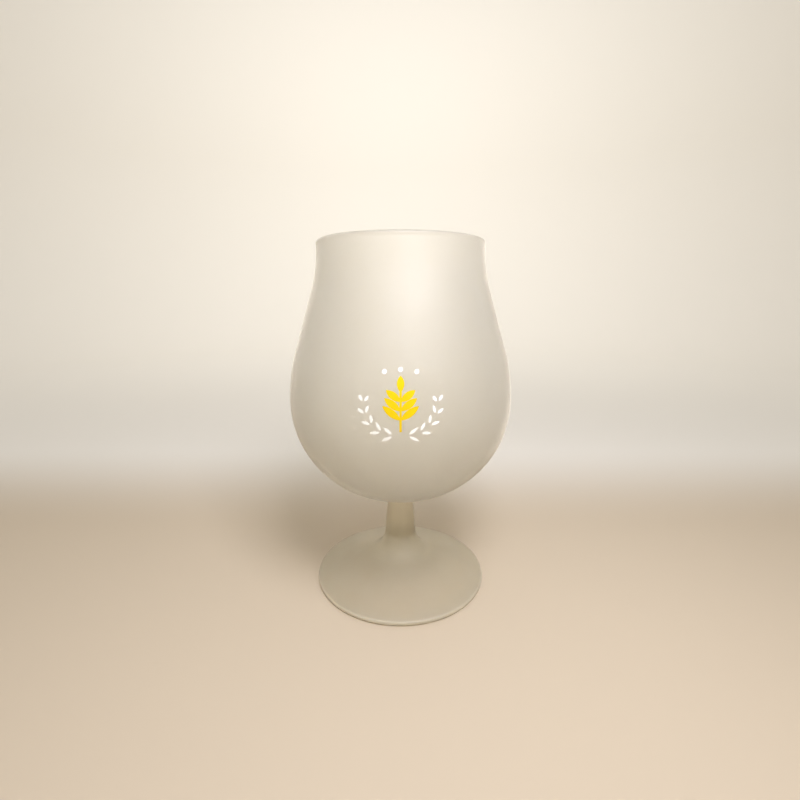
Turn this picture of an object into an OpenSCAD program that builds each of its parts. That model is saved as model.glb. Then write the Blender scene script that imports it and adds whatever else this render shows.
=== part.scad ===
// Frosted stemmed goblet: a round blown bowl drawn in to its rim, a short stem and a trumpet foot.
// A small two-colour print lies on the front of the belly.
// Millimetres, +Z up. The glass stands on z = 0 with its axis on Z, and the print faces -Y.

/* [Bowl] */
// Outside diameter of the wall at the rim
rim_d = 68; // [60:0.2:80]
// Outside diameter at the widest line of the belly
belly_d = 94.4; // [84:0.2:108]
// Height of the bowl from the stem to the top of the rim
bowl_h = 108.5; // [92:0.1:126]
// Height of the belly's widest line above the stem
belly_h = 43.6; // [38:0.1:52]
// Radius of the belly's curve above its widest line
shoulder_r = 72; // [30:0.5:80]
// Radius of the turn from the drawn-in side to the upright lip
lip_r = 58; // [20:0.5:75]
// Height of the upright lip below the bead
lip_h = 0.8; // [0.2:0.1:8]
// Thickness of the blown wall
wall_t = 2.2; // [1.4:0.1:3.4]
// How far the fire-polished bead stands proud of the wall on each side
bead_proud = 0.1; // [0.05:0.05:0.6]
// Thickness of the glass under the hollow
base_t = 5; // [3.6:0.1:10]
// Radius of the turn from the flat floor of the hollow to its side
floor_r = 32; // [20:0.5:36]

/* [Stem] */
// Diameter of the stem under the bowl
stem_top_d = 11; // [8:0.1:18]
// Diameter of the stem on the foot
stem_foot_d = 14.2; // [9:0.1:20]
// Length of the stem between the foot and the bowl
stem_h = 20.2; // [8:0.1:60]

/* [Foot] */
// Diameter of the foot
foot_d = 77.4; // [64:0.2:96]
// Thickness of the foot's rounded edge
edge_t = 2.2; // [1.2:0.1:4]
// Slope of the foot's upper side, in degrees
foot_slope = 21; // [8:0.5:28]
// Radius of the sweep from the foot up to the stem
sweep_r = 12; // [6:0.5:18]
// Width of the flat ring that the glass stands on
ring_w = 6; // [2:0.5:12]
// Depth of the hollow under the foot
hollow_h = 5.5; // [1:0.1:8]

/* [Print] */
// Height of the print's centre above the belly's widest line
print_rise = 7.9; // [-6:0.1:16]
// Thickness of the ink film
ink_t = 0.1; // [0.05:0.05:0.3]
// Height of the stalk that carries the yellow leaves
stalk_h = 13.5; // [8:0.1:18]
// Width of the stalk
stalk_w = 0.8; // [0.5:0.1:1.6]
// Length of the topmost yellow leaf
top_leaf_l = 5.4; // [3:0.1:8]
// Length of the lowest yellow leaves
low_leaf_l = 7.8; // [4:0.1:9]
// Width of a yellow leaf
leaf_w = 2.5; // [1.5:0.1:3.4]
// Angle of the yellow side leaves from the stalk, in degrees
leaf_angle = 52; // [30:1:70]
// Number of leaf pairs on the stalk
leaf_pairs = 3; // [2:1:4]
// Radius of the white fronds
frond_r = 10.8; // [9:0.1:15]
// Distance of the fronds' centres from the middle
frond_x = 1.8; // [0.5:0.1:5]
// Number of leaflet pairs on a frond
frond_pairs = 5; // [3:1:6]
// Length of the lowest leaflet
leaflet_l = 3.8; // [2:0.1:5]
// Length of the last leaflet on a frond
last_leaflet_l = 2.4; // [1.5:0.1:4]
// Width of a leaflet
leaflet_w = 1.1; // [0.6:0.1:1.6]
// Gap between the leaflets of a pair, at their base
leaflet_gap = 0.7; // [0.4:0.1:1.5]
// Diameter of a white berry
berry_d = 1.6; // [0.8:0.1:2.4]
// Gap between the topmost leaf and the berries
berry_gap = 1.2; // [0.5:0.1:3]

/* [Hidden] */
$fn = 96;

// Largest angle between two points of an arc, in degrees
arc_step = 3;
// Share of the drawn-in height that the two turns may take up together
turn_share = 0.97;
// Share of the round bottom's depth that the turn at the floor may take up
floor_share = 0.95;
// Angle around the axis that carries the print, in degrees
print_span = 60;
// Angle of the frond's lowest leaflet, and of its last one, in degrees
frond_from = -84;
frond_to = 4;
// Angle of a leaflet from its frond, in degrees
leaflet_angle = 34;
// Angle between two berries, seen from the stalk's foot, in degrees
berry_step = 15;
// Share of the stalk below the lowest leaves
bare_stalk = 0.3;

rim_r = rim_d / 2;
belly_r = belly_d / 2;
bead_d = wall_t + 2 * bead_proud;
stem_r = stem_top_d / 2;
stem_foot_r = stem_foot_d / 2;

// The foot: its edge, the slope above it and the sweep that turns up into the stem
edge_r = edge_t / 2;
edge_c = [foot_d / 2 - edge_r, edge_r];
ring_in_r = edge_c.x - ring_w;
stem_draft = atan((stem_foot_r - stem_r) / stem_h);
slope_normal = [sin(foot_slope), cos(foot_slope)];
slope_end = edge_c + edge_r * slope_normal;
sweep_x = stem_foot_r + sweep_r * cos(stem_draft);
sweep_foot_x = sweep_x - sweep_r * slope_normal.x;
sweep_foot_z = slope_end.y + (slope_end.x - sweep_foot_x) * tan(foot_slope);
sweep_c = [sweep_x, sweep_foot_z + sweep_r * slope_normal.y];
foot_h = sweep_c.y - sweep_r * sin(stem_draft);
dome_r = (ring_in_r ^ 2 + hollow_h ^ 2) / (2 * hollow_h);

// Heights up the glass
bowl_z = foot_h + stem_h;
belly_z = bowl_z + belly_h;
rim_z = bowl_z + bowl_h;
bead_z = rim_z - bead_d / 2;
lip_z = bead_z - lip_h;
print_z = belly_z + print_rise;

// The round bottom from the stem to the widest line, outside, and the turn up from the floor, inside
bottom_run = belly_r - stem_r;
bottom_r = (bottom_run ^ 2 + belly_h ^ 2) / (2 * bottom_run);
bottom_c = [belly_r - bottom_r, belly_z];
inner_r = bottom_r - wall_t;
floor_depth = belly_h - base_t;
floor_turn = min(floor_r, floor_share * floor_depth);
floor_run = sqrt((inner_r - floor_turn) ^ 2 - (floor_depth - floor_turn) ^ 2);
floor_c = bottom_c + [floor_run, floor_turn - floor_depth];
floor_angle = atan2(floor_turn - floor_depth, floor_run);

// The side above the belly: two turns joined by the straight line that touches both
draw_in = belly_r - rim_r;
side_rise = lip_z - belly_z;
most_turn = turn_share * (draw_in ^ 2 + side_rise ^ 2) / (2 * draw_in);
turn_fit = min(1, most_turn / (shoulder_r + lip_r));
upper_r = shoulder_r * turn_fit;
turn_r = lip_r * turn_fit;
upper_c = [belly_r - upper_r, belly_z];
turn_c = [rim_r + turn_r, lip_z];
between = turn_c - upper_c;
side_angle = atan2(between.y, between.x) - acos((upper_r + turn_r) / norm(between));

// The print: places of the leaves along the stalk
stalk_low = -(stalk_h + top_leaf_l) / 2;
stalk_top = stalk_low + stalk_h;
leaf_low = stalk_low + bare_stalk * stalk_h;
leaf_step = (stalk_top - leaf_low) / leaf_pairs;
berry_r = stalk_h + top_leaf_l + berry_gap + berry_d / 2;

function arc(c, r, from, to) =
    let (n = max(2, ceil(abs(to - from) / arc_step)))
    [for (i = [0:n]) c + r * [cos(from + (to - from) * i / n), sin(from + (to - from) * i / n)]];
function reversed(points) = [for (i = [len(points) - 1:-1:0]) points[i]];
function blend(a, b, share) = a + (b - a) * share;

// Outside of the bowl from the stem to the lip, moved outwards by a thickness
function outside(out) = concat(
    arc(bottom_c, bottom_r + out, atan2(-belly_h, stem_r - bottom_c.x), 0),
    side(out));
// Side of the bowl from the belly to the lip, moved outwards by a thickness
function side(out) = concat(
    arc(upper_c, upper_r + out, 0, side_angle),
    arc(turn_c, turn_r - out, 180 + side_angle, 180));
function inside() = concat(
    [[0, bowl_z + base_t]],
    arc(floor_c, floor_turn, -90, floor_angle),
    arc(bottom_c, inner_r, floor_angle, 0),
    side(-wall_t));

module bowl() {
    color("ivory") {
        rotate_extrude()
            polygon(concat(
                [[0, bowl_z]],
                outside(0),
                [[rim_r, bead_z], [rim_r - wall_t, bead_z]],
                reversed(inside())));
        rotate_extrude()
            translate([rim_r - wall_t / 2, bead_z])
                circle(d = bead_d);
    }
}

module stem() {
    color("gainsboro")
        translate([0, 0, foot_h])
            cylinder(h = stem_h, d1 = stem_foot_d, d2 = stem_top_d);
}

module foot() {
    color("lightgray")
        rotate_extrude()
            polygon(concat(
                reversed(arc([0, hollow_h - dome_r], dome_r, asin((dome_r - hollow_h) / dome_r), 90)),
                arc(edge_c, edge_r, -90, 90 - foot_slope),
                arc(sweep_c, sweep_r, 270 - foot_slope, 180 + stem_draft),
                [[0, foot_h]]));
}

// Pointed leaf that grows along +Y from the origin
module leaf(length, width) {
    swing = (length ^ 2 + width ^ 2) / (4 * width);
    translate([0, length / 2])
        intersection() {
            translate([swing - width / 2, 0]) circle(swing);
            translate([width / 2 - swing, 0]) circle(swing);
        }
}

// Stalk with pairs of leaves and one leaf on top
module sprig() {
    translate([-stalk_w / 2, stalk_low])
        square([stalk_w, stalk_h + stalk_w]);
    translate([0, stalk_top])
        leaf(top_leaf_l, leaf_w);
    for (i = [0:leaf_pairs - 1], turn = [-1, 1])
        translate([0, leaf_low + i * leaf_step])
            rotate(turn * leaf_angle)
                leaf(blend(low_leaf_l, top_leaf_l, i / leaf_pairs), leaf_w);
}

// Pairs of leaflets along a rising arc, to the right of the sprig
module frond() {
    for (i = [0:frond_pairs - 1], turn = [-1, 1]) {
        share = i / (frond_pairs - 1);
        along = blend(frond_from, frond_to, share);
        translate([frond_x, 0])
            rotate(along)
                translate([frond_r - turn * leaflet_gap / 2, 0])
                    rotate(turn * leaflet_angle)
                        leaf(blend(leaflet_l, last_leaflet_l, share), leaflet_w);
    }
}

// Both fronds and the berries above the sprig
module garland() {
    frond();
    mirror([1, 0]) frond();
    for (i = [-1:1])
        translate([0, stalk_low])
            rotate(i * berry_step)
                translate([0, berry_r])
                    circle(d = berry_d);
}

// Ink film that follows the outside of the bowl, cut to the flat design that it is given
module film() {
    intersection() {
        rotate([0, 0, -90 - print_span / 2])
            rotate_extrude(angle = print_span)
                polygon(concat(outside(0), reversed(outside(ink_t))));
        translate([0, 0, print_z])
            rotate([90, 0, 0])
                linear_extrude(height = belly_d)
                    children();
    }
}

module yellow_print() {
    color("gold") film() sprig();
}

module white_print() {
    color("white") film() garland();
}

bowl();
stem();
foot();
yellow_print();
white_print();
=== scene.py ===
"""Frosted stemmed goblet: a blown bowl, a short stem, a trumpet foot and a small two-colour print."""
import math

import bpy
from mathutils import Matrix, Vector


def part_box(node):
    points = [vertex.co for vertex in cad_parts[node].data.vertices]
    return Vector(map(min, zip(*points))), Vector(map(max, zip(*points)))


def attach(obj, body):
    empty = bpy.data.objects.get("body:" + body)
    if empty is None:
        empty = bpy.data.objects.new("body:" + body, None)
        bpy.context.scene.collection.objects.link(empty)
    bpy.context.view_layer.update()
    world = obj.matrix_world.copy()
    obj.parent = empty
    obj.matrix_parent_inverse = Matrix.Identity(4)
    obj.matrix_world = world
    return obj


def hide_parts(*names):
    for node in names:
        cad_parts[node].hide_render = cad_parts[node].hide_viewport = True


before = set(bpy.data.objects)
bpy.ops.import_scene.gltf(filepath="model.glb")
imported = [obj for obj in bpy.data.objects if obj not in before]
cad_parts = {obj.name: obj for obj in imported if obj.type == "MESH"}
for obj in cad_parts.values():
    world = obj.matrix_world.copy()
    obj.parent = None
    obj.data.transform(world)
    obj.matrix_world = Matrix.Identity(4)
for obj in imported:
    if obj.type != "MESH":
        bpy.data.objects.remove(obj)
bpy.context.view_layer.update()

bl_info = {
    "name": "Frosted Goblet",
    "version": (1, 0, 0),
    "blender": (4, 5, 0),
    "location": "3D View > Sidebar > Goblet",
    "description": "Builds a frosted stemmed goblet with a small leaf print, and a plain stage for it",
    "category": "Add Mesh",
}

MM = 0.001
BODY = "root"

BOWL_LOW, BOWL_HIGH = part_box("bowl")
STEM_LOW, STEM_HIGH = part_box("stem")
FOOT_LOW, FOOT_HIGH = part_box("foot")

# How a turned piece is drawn: steps round the axis and along straight stretches, the most that an arc's
# chord may miss, the gap up to which points merge, the plane that a pen starts from, and the angle up to
# which the turn between two faces is shaded smooth
ROUND_STEPS = 192
STRAIGHT_STEPS = 8
RING_STEPS = 3
FLOOR_STEPS = 6
CHORD_MISS = 0.004 * MM
MERGE_GAP = 0.0005 * MM
PEN_SIZE = 1 * MM
CREASE_ANGLE = math.radians(28)

# Share of the foot edge's thickness that lies in the shade of the floor. It keeps the plain solid glass,
# while the edge above it gets a paler glass as a painted highlight
EDGE_SHADE = 0.15

# Tint of the sheen that the frost shows along the edges
SHEEN_TINT = "#FFF6E4"

# The camera: its place and tilt, and its lens in pixels of a square picture
CAMERA_PLACE = (-0.2 * MM, -188.25 * MM, 126.75 * MM)
CAMERA_PITCH = math.radians(12.82)
LENS_PIXELS = 437
PICTURE_SIDE = 800
SENSOR_WIDTH = 36
CLIP_START = 5 * MM

# The floor, in metres: a flat round that sweeps up, and where its sand turns pale behind and all round
FLOOR_DROP = 0.02 * MM
FLOOR_FLAT = 1.0
SWEEP_RADIUS = 0.6
SWEEP_TOP = 1.4
SAND_TO_PALE_BEHIND = (0.04, 0.18)
SAND_TO_PALE_AROUND = (0.3, 0.9)

# The lights, in metres and watts: a key light on the glass, a wash on the backdrop and an even sky
KEY_PLACE = Vector((0.05, -0.16, 0.29))
KEY_AT = Vector((0, 0, 0.09))
KEY_SIDE = 0.11
KEY_POWER = 0.86
KEY_TINT = "#F5F5FF"
WASH_PLACE = Vector((0, 0.2, 1.25))
WASH_AT = Vector((0, 1.6, 0.5))
WASH_SIDE = 0.6
WASH_POWER = 5.7
WASH_TINT = "#FFFFFF"
WASH_SPREAD = math.radians(120)
SKY_STRENGTH = 0.69
SKY_TINT = "#FDFCFA"


def linear(hex_colour):
    """Turns an sRGB hex colour into the linear colour that shaders take."""
    parts = [int(hex_colour[i:i + 2], 16) / 255 for i in (1, 3, 5)]
    return [c / 12.92 if c <= 0.04045 else ((c + 0.055) / 1.055) ** 2.4 for c in parts]


def length(name, description, millimetres):
    """A length that a user can set, given in millimetres and kept in metres."""
    return bpy.props.FloatProperty(
        name=name, description=description, default=millimetres * MM, min=0,
        precision=5, unit="LENGTH", subtype="DISTANCE")


def angle(name, description, degrees):
    """An angle that a user can set, given in degrees and kept in radians."""
    return bpy.props.FloatProperty(
        name=name, description=description, default=math.radians(degrees),
        unit="ROTATION", subtype="ANGLE")


def colour(name, description, hex_colour):
    """A colour that a user can set, given as sRGB hex and kept linear."""
    return bpy.props.FloatVectorProperty(
        name=name, description=description, default=linear(hex_colour),
        size=3, min=0, max=1, subtype="COLOR")


class GobletSizes(bpy.types.PropertyGroup):
    """Sizes of the glass that its box doesn't give"""
    rim_width: length("Rim width", "Outside width of the wall at the rim", 68)
    belly_height: length("Belly height", "Height of the widest line above the stem", 43.6)
    shoulder_radius: length("Shoulder radius", "Radius of the curve above the widest line", 72)
    lip_radius: length("Lip radius", "Radius of the turn from the drawn-in side to the lip", 58)
    lip_height: length("Lip height", "Height of the upright lip below the bead", 0.8)
    wall: length("Wall", "Thickness of the blown wall", 2.2)
    bead_proud: length("Bead", "How far the rim's bead stands proud of the wall on each side", 0.1)
    bead_neck: length("Bead neck", "Radius of the soft turn between the wall and the bead", 1.5)
    base: length("Base", "Thickness of the glass under the hollow", 5)
    floor_turn: length("Floor turn", "Radius of the turn from the hollow's floor to its side", 32)
    stem_top_width: length("Stem top", "Width of the stem under the bowl", 11)
    stem_fillet: length("Stem fillet", "Radius of the fused turn between stem and bowl", 2.5)
    foot_edge: length("Foot edge", "Thickness of the foot's rounded edge", 2.2)
    foot_slope: angle("Foot slope", "Slope of the foot's upper side", 21)
    foot_sweep: length("Foot sweep", "Radius of the sweep from the foot up to the stem", 12)
    foot_ring: length("Foot ring", "Width of the flat ring that the glass stands on", 6)
    foot_hollow: length("Foot hollow", "Depth of the hollow under the foot", 5.5)


class GobletColours(bpy.types.PropertyGroup):
    """Colours of the glass, the inks and the stage"""
    blown: colour("Blown glass", "Etched bowl where it is clearest", "#FDFBF5")
    blown_cloud: colour("Blown glass cloud", "Etched bowl under thick frost", "#F8F5EC")
    solid: colour("Solid glass", "Etched stem and foot where they are clearest", "#F8F2E0")
    solid_cloud: colour("Solid glass cloud", "Etched stem and foot under thick frost", "#F3EAD4")
    yellow: colour("Yellow ink", "Yellow ink of the leaves", "#ECCB08")
    yellow_thin: colour("Thin yellow ink", "Yellow ink where the film is thin", "#E4C006")
    white: colour("White ink", "White ink of the fronds and berries", "#FCFBF6")
    white_thin: colour("Thin white ink", "White ink where the film is thin", "#F3F1E9")
    floor: colour("Floor", "Pale sand of the floor round the glass", "#C8B9A3")
    backdrop: colour("Backdrop", "Near white of the floor and sweep further off", "#F0EBE2")


# Modelling with Blender's own tools


def clear_selection():
    """Deselects everything, in object mode."""
    if bpy.context.mode != "OBJECT":
        bpy.ops.object.mode_set(mode="OBJECT")
    bpy.ops.object.select_all(action="DESELECT")


class ProfilePen:
    """Draws one half of a turned outline in the XZ plane, and turns it round the axis."""

    def __init__(self, name, x, z):
        clear_selection()
        bpy.ops.mesh.primitive_plane_add(size=PEN_SIZE)
        self.piece = bpy.context.object
        self.piece.name = name
        self.piece.data.name = name
        bpy.ops.object.mode_set(mode="EDIT")
        bpy.ops.mesh.merge(type="CENTER")
        bpy.ops.transform.translate(value=(x, 0, z))
        self.at = Vector((x, z))

    def line(self, x, z, steps=1):
        """Draws a straight stretch to a point."""
        end = Vector((x, z))
        step = (end - self.at) / steps
        for _ in range(steps):
            bpy.ops.mesh.extrude_region_move(TRANSFORM_OT_translate={"value": (step.x, 0, step.y)})
        self.at = end

    def arc(self, centre, turn):
        """Draws an arc about a centre. A positive turn runs from +X towards +Z."""
        spoke = self.at - centre
        chord = 2 * math.acos(1 - CHORD_MISS / spoke.length)
        steps = max(2, math.ceil(abs(turn) / chord))
        bpy.ops.mesh.spin(steps=steps, angle=turn, center=(centre.x, 0, centre.y), axis=(0, 1, 0))
        self.at = on_circle(centre, spoke.length, bearing(spoke) + turn)

    def turn(self):
        """Turns the outline round the axis into a closed, smooth piece."""
        bpy.ops.mesh.select_all(action="SELECT")
        bpy.ops.mesh.spin(steps=ROUND_STEPS, angle=math.tau, center=(0, 0, 0), axis=(0, 0, 1))
        bpy.ops.mesh.select_all(action="SELECT")
        bpy.ops.mesh.remove_doubles(threshold=MERGE_GAP)
        bpy.ops.mesh.normals_make_consistent(inside=False)
        bpy.ops.object.mode_set(mode="OBJECT")
        bpy.ops.object.shade_smooth_by_angle(angle=CREASE_ANGLE)
        return self.piece


def on_circle(centre, radius, at_angle):
    """The point of a circle at an angle from +X towards +Z."""
    return centre + radius * Vector((math.cos(at_angle), math.sin(at_angle)))


def bearing(way):
    """Angle of a direction from +X towards +Z."""
    return math.atan2(way.y, way.x)


def arc_through(run, rise):
    """Radius of the arc that leaves upright and covers a run and a rise."""
    return (run ** 2 + rise ** 2) / (2 * run)


def coat(piece, material):
    """Gives a piece one finish all over."""
    piece.data.materials.clear()
    piece.data.materials.append(material)


def fit_glass(piece, material, node):
    """Gives a glass piece its finish, fixes it to the goblet and hides the solid that it stands for."""
    coat(piece, material)
    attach(piece, BODY)
    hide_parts(node)


# Materials


def new_material(name):
    """A new node material and its output node, or the material that is already there and None."""
    material = bpy.data.materials.get(name)
    if material:
        return material, None
    material = bpy.data.materials.new(name)
    material.use_nodes = True
    material.node_tree.nodes.clear()
    return material, material.node_tree.nodes.new("ShaderNodeOutputMaterial")


def add_node(material, kind, inputs=None, **settings):
    """Adds a node with its settings, and sets its inputs or links them to other nodes' outputs."""
    node = material.node_tree.nodes.new(kind)
    for name, value in settings.items():
        setattr(node, name, value)
    for name, value in (inputs or {}).items():
        if isinstance(value, bpy.types.NodeSocket):
            material.node_tree.links.new(value, node.inputs[name])
        else:
            node.inputs[name].default_value = value
    return node


def rgba(rgb):
    """A shader colour from a colour property."""
    return (*rgb, 1)


def frosted_glass(name, clear, cloudy, passed):
    """Soda-lime glass, acid-etched to a satin that passes a share of the light, blurred to a glow. Its
    frost catches light along the edges, and lies a little thicker in clouds."""
    material, output = new_material(name)
    if output is None:
        return material
    # The etched pits are about 0.05 mm wide, too fine to show, so they are drawn at 0.35 mm.
    pit = 0.35 * MM
    pit_depth = 0.03 * MM
    cloud = 9 * MM
    place = add_node(material, "ShaderNodeTexCoord").outputs["Object"]
    pits = add_node(material, "ShaderNodeTexNoise", {"Vector": place, "Scale": 1 / pit, "Detail": 2})
    clouds = add_node(material, "ShaderNodeTexNoise", {"Vector": place, "Scale": 1 / cloud, "Detail": 3})
    tint = add_node(material, "ShaderNodeMix", {
        "Factor": clouds.outputs["Fac"], "A": rgba(clear), "B": rgba(cloudy)}, data_type="RGBA")
    rough = add_node(material, "ShaderNodeMapRange", {
        "Value": clouds.outputs["Fac"], "From Min": 0.3, "From Max": 0.7, "To Min": 0.53, "To Max": 0.59})
    grain = add_node(material, "ShaderNodeBump", {
        "Height": pits.outputs["Fac"], "Strength": 0.25, "Distance": pit_depth})
    glass = add_node(material, "ShaderNodeBsdfPrincipled", {
        "Base Color": tint.outputs["Result"], "Roughness": rough.outputs["Result"],
        "Normal": grain.outputs["Normal"], "IOR": 1.52, "Transmission Weight": passed,
        "Sheen Weight": 0.6, "Sheen Roughness": 0.3, "Sheen Tint": rgba(linear(SHEEN_TINT))})
    material.node_tree.links.new(glass.outputs["BSDF"], output.inputs["Surface"])
    return material


def blown_glass(colours):
    """The bowl's thin wall, which lets most of the light through."""
    return frosted_glass(
        "soda_lime_glass_blown_acid_etched", colours.blown, colours.blown_cloud, passed=0.9)


def solid_glass(colours):
    """The solid stem and foot: the same glass, a little darker and warmer where it is thick."""
    return frosted_glass(
        "soda_lime_glass_solid_acid_etched", colours.solid, colours.solid_cloud, passed=0.82)


def painted_edge_highlight_glass(colours):
    """The foot's edge: a painted highlight. It is the solid glass made paler by passing less light, and
    stands in for light that gathers inside the foot and leaves at its edge.
    """
    # Passing less light than the solid glass makes the edge show paler: a painted highlight
    return frosted_glass(
        "soda_lime_glass_painted_edge_highlight", colours.solid, colours.solid_cloud, passed=0.69)


def fired_ink(name, thick, thin):
    """Screen-printed enamel, fired on: an opaque satin film, a little thinner in blotches."""
    material, output = new_material(name)
    if output is None:
        return material
    # The screen's threads are about 0.1 mm apart, too fine to show, so their trace is drawn at 0.25 mm.
    thread = 0.25 * MM
    film_depth = 0.02 * MM
    blotch = 1.6 * MM
    place = add_node(material, "ShaderNodeTexCoord").outputs["Object"]
    blotches = add_node(material, "ShaderNodeTexNoise", {"Vector": place, "Scale": 1 / blotch, "Detail": 3})
    threads = add_node(material, "ShaderNodeTexNoise", {"Vector": place, "Scale": 1 / thread, "Detail": 1})
    tint = add_node(material, "ShaderNodeMix", {
        "Factor": blotches.outputs["Fac"], "A": rgba(thick), "B": rgba(thin)}, data_type="RGBA")
    rough = add_node(material, "ShaderNodeMapRange", {
        "Value": blotches.outputs["Fac"], "To Min": 0.4, "To Max": 0.55})
    film = add_node(material, "ShaderNodeBump", {
        "Height": threads.outputs["Fac"], "Strength": 0.2, "Distance": film_depth})
    ink = add_node(material, "ShaderNodeBsdfPrincipled", {
        "Base Color": tint.outputs["Result"], "Roughness": rough.outputs["Result"],
        "Normal": film.outputs["Normal"], "IOR": 1.5, "Specular IOR Level": 0.2})
    material.node_tree.links.new(ink.outputs["BSDF"], output.inputs["Surface"])
    return material


def pale_floor(colours):
    """Matt graduated card: pale sand round the glass, near white behind it and up all sides."""
    material, output = new_material("matt_card_floor")
    if output is None:
        return material
    place = add_node(material, "ShaderNodeTexCoord").outputs["Object"]
    depth = add_node(material, "ShaderNodeSeparateXYZ", {"Vector": place}).outputs["Y"]
    reach = add_node(
        material, "ShaderNodeVectorMath", {"Vector": place}, operation="LENGTH").outputs["Value"]
    shares = []
    for way, (sand, pale) in ((depth, SAND_TO_PALE_BEHIND), (reach, SAND_TO_PALE_AROUND)):
        change = add_node(material, "ShaderNodeMapRange", {
            "Value": way, "From Min": sand, "From Max": pale}, interpolation_type="SMOOTHSTEP")
        shares.append(change.outputs["Result"])
    share = add_node(material, "ShaderNodeMath", dict(enumerate(shares)), operation="MAXIMUM")
    tint = add_node(material, "ShaderNodeMix", {
        "Factor": share.outputs["Value"], "A": rgba(colours.floor), "B": rgba(colours.backdrop)},
        data_type="RGBA")
    card = add_node(material, "ShaderNodeBsdfPrincipled", {
        "Base Color": tint.outputs["Result"], "Roughness": 0.9, "Specular IOR Level": 0.2})
    material.node_tree.links.new(card.outputs["BSDF"], output.inputs["Surface"])
    return material


# Pieces


class BowlOutline:
    """Centres, radii and angles of the arcs that the bowl's outside and inside are drawn from."""

    def __init__(self, sizes):
        self.rim_r = sizes.rim_width / 2
        self.belly_r = BOWL_HIGH.x
        self.stem_r = sizes.stem_top_width / 2
        self.low_z = BOWL_LOW.z
        belly_z = self.low_z + sizes.belly_height
        self.bead_r = sizes.wall / 2 + sizes.bead_proud
        self.bead = Vector((self.rim_r - sizes.wall / 2, BOWL_HIGH.z - self.bead_r))
        neck_reach = sizes.wall / 2 + sizes.bead_neck
        self.neck_turn = math.acos(neck_reach / (self.bead_r + sizes.bead_neck))
        self.neck_drop = neck_reach * math.tan(self.neck_turn)
        self.shoulder = Vector((self.belly_r - sizes.shoulder_radius, belly_z))
        self.lip = Vector((self.rim_r + sizes.lip_radius, self.bead.y - sizes.lip_height))
        between = self.lip - self.shoulder
        touch = math.acos((sizes.shoulder_radius + sizes.lip_radius) / between.length)
        self.side_angle = bearing(between) - touch
        self.bottom_r = arc_through(self.belly_r - self.stem_r, sizes.belly_height)
        self.bottom = Vector((self.belly_r - self.bottom_r, belly_z))
        # The edge of the joint with the stem, seen from the bottom's centre
        self.stem_joint = Vector((self.stem_r, self.low_z)) - self.bottom
        floor_depth = sizes.belly_height - sizes.base
        floor_rise = sizes.floor_turn - floor_depth
        floor_run = math.sqrt((self.bottom_r - sizes.wall - sizes.floor_turn) ** 2 - floor_rise ** 2)
        self.floor = self.bottom + Vector((floor_run, floor_rise))
        self.floor_angle = math.atan2(floor_rise, floor_run)


class GOBLET_OT_bowl(bpy.types.Operator):
    """Blows the bowl: a round bottom, a belly drawn in to an upright lip, and a bead at the rim"""
    bl_idname = "goblet.bowl"
    bl_label = "Bowl"
    bl_options = {"REGISTER", "UNDO"}

    def execute(self, context):
        sizes = context.scene.goblet_sizes
        bowl = BowlOutline(sizes)
        inner_r = bowl.rim_r - sizes.wall
        neck_z = bowl.bead.y - bowl.neck_drop
        outer_end = on_circle(bowl.lip, sizes.lip_radius, math.pi + bowl.side_angle)
        inner_end = on_circle(bowl.shoulder, sizes.shoulder_radius - sizes.wall, bowl.side_angle)
        pen = ProfilePen("glass_bowl", 0, bowl.low_z)
        pen.line(bowl.stem_r, bowl.low_z)
        pen.arc(bowl.bottom, -bearing(bowl.stem_joint))
        pen.arc(bowl.shoulder, bowl.side_angle)
        pen.line(*outer_end, steps=STRAIGHT_STEPS)
        pen.arc(bowl.lip, -bowl.side_angle)
        pen.line(bowl.rim_r, neck_z)
        pen.arc(Vector((bowl.rim_r + sizes.bead_neck, neck_z)), -bowl.neck_turn)
        pen.arc(bowl.bead, math.pi + 2 * bowl.neck_turn)
        pen.arc(Vector((inner_r - sizes.bead_neck, neck_z)), -bowl.neck_turn)
        pen.line(inner_r, bowl.lip.y)
        pen.arc(bowl.lip, bowl.side_angle)
        pen.line(*inner_end, steps=STRAIGHT_STEPS)
        pen.arc(bowl.shoulder, -bowl.side_angle)
        pen.arc(bowl.bottom, bowl.floor_angle)
        pen.arc(bowl.floor, -math.pi / 2 - bowl.floor_angle)
        pen.line(0, bowl.low_z + sizes.base)
        fit_glass(pen.turn(), blown_glass(context.scene.goblet_colours), "bowl")
        return {"FINISHED"}


class GOBLET_OT_stem(bpy.types.Operator):
    """Draws the short stem, fused to the bowl with a small round turn"""
    bl_idname = "goblet.stem"
    bl_label = "Stem"
    bl_options = {"REGISTER", "UNDO"}

    def execute(self, context):
        sizes = context.scene.goblet_sizes
        bowl = BowlOutline(sizes)
        fillet = sizes.stem_fillet
        draft = stem_draft(sizes)
        out = Vector((math.cos(draft), math.sin(draft)))
        up = Vector((-out.y, out.x))
        # The fused turn touches the stem's side and the bowl's round bottom, both from outside.
        reach = out.dot(bowl.stem_joint) + fillet
        drop = math.sqrt((bowl.bottom_r + fillet) ** 2 - reach ** 2)
        turn_centre = bowl.bottom + reach * out - drop * up
        side_top = turn_centre - fillet * out
        fillet_turn = math.pi + draft - bearing(bowl.bottom - turn_centre)
        pen = ProfilePen("glass_stem", 0, STEM_LOW.z)
        pen.line(STEM_HIGH.x, STEM_LOW.z)
        pen.line(*side_top, steps=STRAIGHT_STEPS)
        pen.arc(turn_centre, -fillet_turn)
        pen.arc(bowl.bottom, bearing(bowl.stem_joint) - bearing(pen.at - bowl.bottom))
        pen.line(0, bowl.low_z)
        fit_glass(pen.turn(), solid_glass(context.scene.goblet_colours), "stem")
        return {"FINISHED"}


def stem_draft(sizes):
    """Angle of the stem's side from upright."""
    return math.atan((STEM_HIGH.x - sizes.stem_top_width / 2) / (STEM_HIGH.z - STEM_LOW.z))


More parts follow.
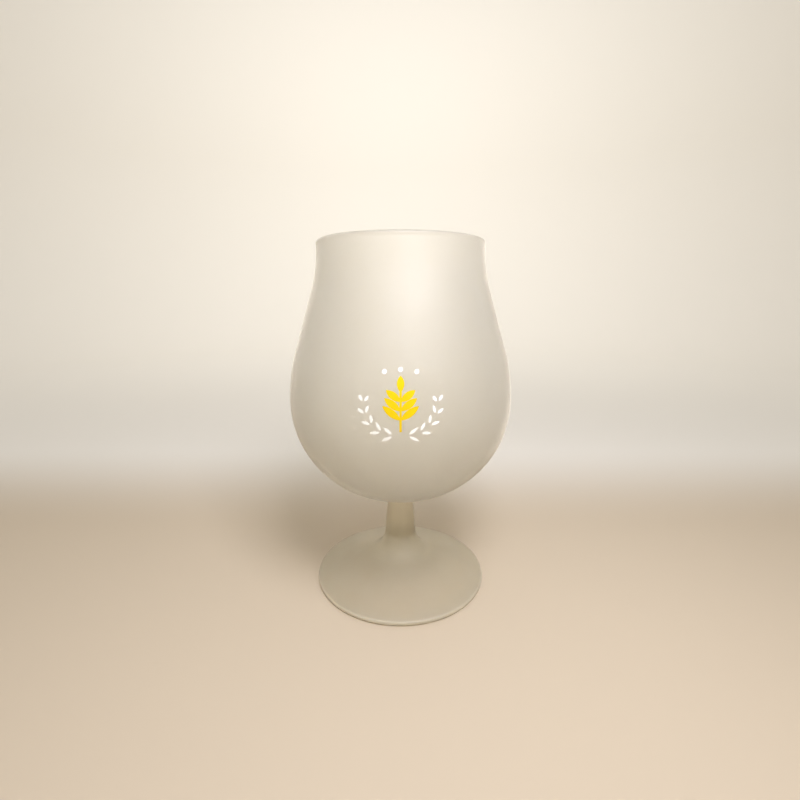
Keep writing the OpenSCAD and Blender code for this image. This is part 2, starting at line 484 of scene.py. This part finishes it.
class GOBLET_OT_foot(bpy.types.Operator):
    """Presses the foot: a standing ring round a hollow, a round edge and a sweep up to the stem"""
    bl_idname = "goblet.foot"
    bl_label = "Foot"
    bl_options = {"REGISTER", "UNDO"}

    def execute(self, context):
        sizes = context.scene.goblet_sizes
        colours = context.scene.goblet_colours
        slope = sizes.foot_slope
        draft = stem_draft(sizes)
        edge_r = sizes.foot_edge / 2
        edge = Vector((FOOT_HIGH.x - edge_r, FOOT_LOW.z + edge_r))
        ring_in = edge.x - sizes.foot_ring
        dome_r = arc_through(sizes.foot_hollow, ring_in)
        dome = Vector((0, FOOT_LOW.z + sizes.foot_hollow - dome_r))
        slope_top = on_circle(edge, edge_r, math.pi / 2 - slope)
        sweep_x = STEM_HIGH.x + sizes.foot_sweep * math.cos(draft)
        sweep_foot_x = sweep_x - sizes.foot_sweep * math.sin(slope)
        sweep_foot_z = slope_top.y + (slope_top.x - sweep_foot_x) * math.tan(slope)
        sweep = Vector((sweep_x, sweep_foot_z + sizes.foot_sweep * math.cos(slope)))
        pen = ProfilePen("glass_foot", 0, FOOT_LOW.z + sizes.foot_hollow)
        pen.arc(dome, -math.asin(ring_in / dome_r))
        pen.line(edge.x, FOOT_LOW.z, steps=RING_STEPS)
        pen.arc(edge, math.pi - slope)
        pen.line(sweep_foot_x, sweep_foot_z, steps=STRAIGHT_STEPS)
        pen.arc(sweep, slope + draft - math.pi / 2)
        pen.line(0, FOOT_HIGH.z)
        foot = pen.turn()
        fit_glass(foot, solid_glass(colours), "foot")
        # Painted highlight: the foot's edge faces above the floor's shade take the paler edge glass in the
        # second slot
        foot.data.materials.append(painted_edge_highlight_glass(colours))
        shade_top = FOOT_LOW.z + EDGE_SHADE * sizes.foot_edge
        for face in foot.data.polygons:
            in_painted_highlight = face.center.xy.length > edge.x and face.center.z > shade_top
            face.material_index = 1 if in_painted_highlight else 0
        return {"FINISHED"}


class GOBLET_OT_print(bpy.types.Operator):
    """Prints the leaves and the garland on the belly, in two inks"""
    bl_idname = "goblet.print"
    bl_label = "Print"
    bl_options = {"REGISTER", "UNDO"}

    def execute(self, context):
        colours = context.scene.goblet_colours
        yellow = fired_ink("yellow_enamel_screen_printed", colours.yellow, colours.yellow_thin)
        white = fired_ink("white_enamel_screen_printed", colours.white, colours.white_thin)
        coat(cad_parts["yellow_print"], yellow)
        coat(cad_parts["white_print"], white)
        return {"FINISHED"}


# Stage


def soft_light(name, place, aim, size, power, tint):
    """Adds a square soft light that shines from a place on a point."""
    clear_selection()
    turn = (aim - place).to_track_quat("-Z", "Y").to_euler()
    bpy.ops.object.light_add(type="AREA", location=place, rotation=turn)
    light = bpy.context.object
    light.name = name
    light.data.size = size
    light.data.energy = power
    light.data.color = linear(tint)
    light.visible_camera = False
    return light.data


class GOBLET_OT_stage(bpy.types.Operator):
    """Sets a plain pale floor that sweeps up all round, soft lights and the camera"""
    bl_idname = "goblet.stage"
    bl_label = "Stage"
    bl_options = {"REGISTER", "UNDO"}

    def execute(self, context):
        scene = context.scene
        pen = ProfilePen("floor", 0, -FLOOR_DROP)
        pen.line(FLOOR_FLAT, -FLOOR_DROP, steps=FLOOR_STEPS)
        pen.arc(Vector((FLOOR_FLAT, SWEEP_RADIUS - FLOOR_DROP)), math.pi / 2)
        pen.line(FLOOR_FLAT + SWEEP_RADIUS, SWEEP_TOP)
        floor = pen.turn()
        coat(floor, pale_floor(scene.goblet_colours))

        soft_light("key_light", KEY_PLACE, KEY_AT, KEY_SIDE, KEY_POWER, KEY_TINT)
        wash = soft_light("backdrop_light", WASH_PLACE, WASH_AT, WASH_SIDE, WASH_POWER, WASH_TINT)
        wash.spread = WASH_SPREAD

        world = bpy.data.worlds.new("soft_studio")
        world.use_nodes = True
        sky = world.node_tree.nodes["Background"].inputs
        sky["Color"].default_value = rgba(linear(SKY_TINT))
        sky["Strength"].default_value = SKY_STRENGTH
        scene.world = world
        scene.view_settings.view_transform = "Standard"

        clear_selection()
        bpy.ops.object.camera_add(location=CAMERA_PLACE, rotation=(math.pi / 2 - CAMERA_PITCH, 0, 0))
        camera = context.object
        camera.name = "photo_camera"
        camera.data.sensor_width = SENSOR_WIDTH
        camera.data.lens = LENS_PIXELS / PICTURE_SIDE * SENSOR_WIDTH
        camera.data.clip_start = CLIP_START
        scene.camera = camera
        return {"FINISHED"}


class GOBLET_PT_panel(bpy.types.Panel):
    """Lists the goblet's steps, sizes and colours"""
    bl_idname = "GOBLET_PT_panel"
    bl_label = "Frosted Goblet"
    bl_space_type = "VIEW_3D"
    bl_region_type = "UI"
    bl_category = "Goblet"

    def draw(self, context):
        for operator in OPERATORS:
            self.layout.operator(operator.bl_idname)
        for group in (context.scene.goblet_sizes, context.scene.goblet_colours):
            column = self.layout.column(align=True)
            for name in group.__annotations__:
                column.prop(group, name)


OPERATORS = (GOBLET_OT_stage, GOBLET_OT_bowl, GOBLET_OT_stem, GOBLET_OT_foot, GOBLET_OT_print)
CLASSES = (GobletSizes, GobletColours, *OPERATORS, GOBLET_PT_panel)


def register():
    """Adds the goblet's classes and its settings to Blender."""
    for cls in CLASSES:
        bpy.utils.register_class(cls)
    bpy.types.Scene.goblet_sizes = bpy.props.PointerProperty(type=GobletSizes)
    bpy.types.Scene.goblet_colours = bpy.props.PointerProperty(type=GobletColours)


def unregister():
    """Takes them out again."""
    del bpy.types.Scene.goblet_colours
    del bpy.types.Scene.goblet_sizes
    for cls in reversed(CLASSES):
        bpy.utils.unregister_class(cls)


def main():
    """Builds the stage and the goblet."""
    register()
    bpy.ops.goblet.stage()
    bpy.ops.goblet.bowl()
    bpy.ops.goblet.stem()
    bpy.ops.goblet.foot()
    bpy.ops.goblet.print()


if __name__ == "__main__":
    main()
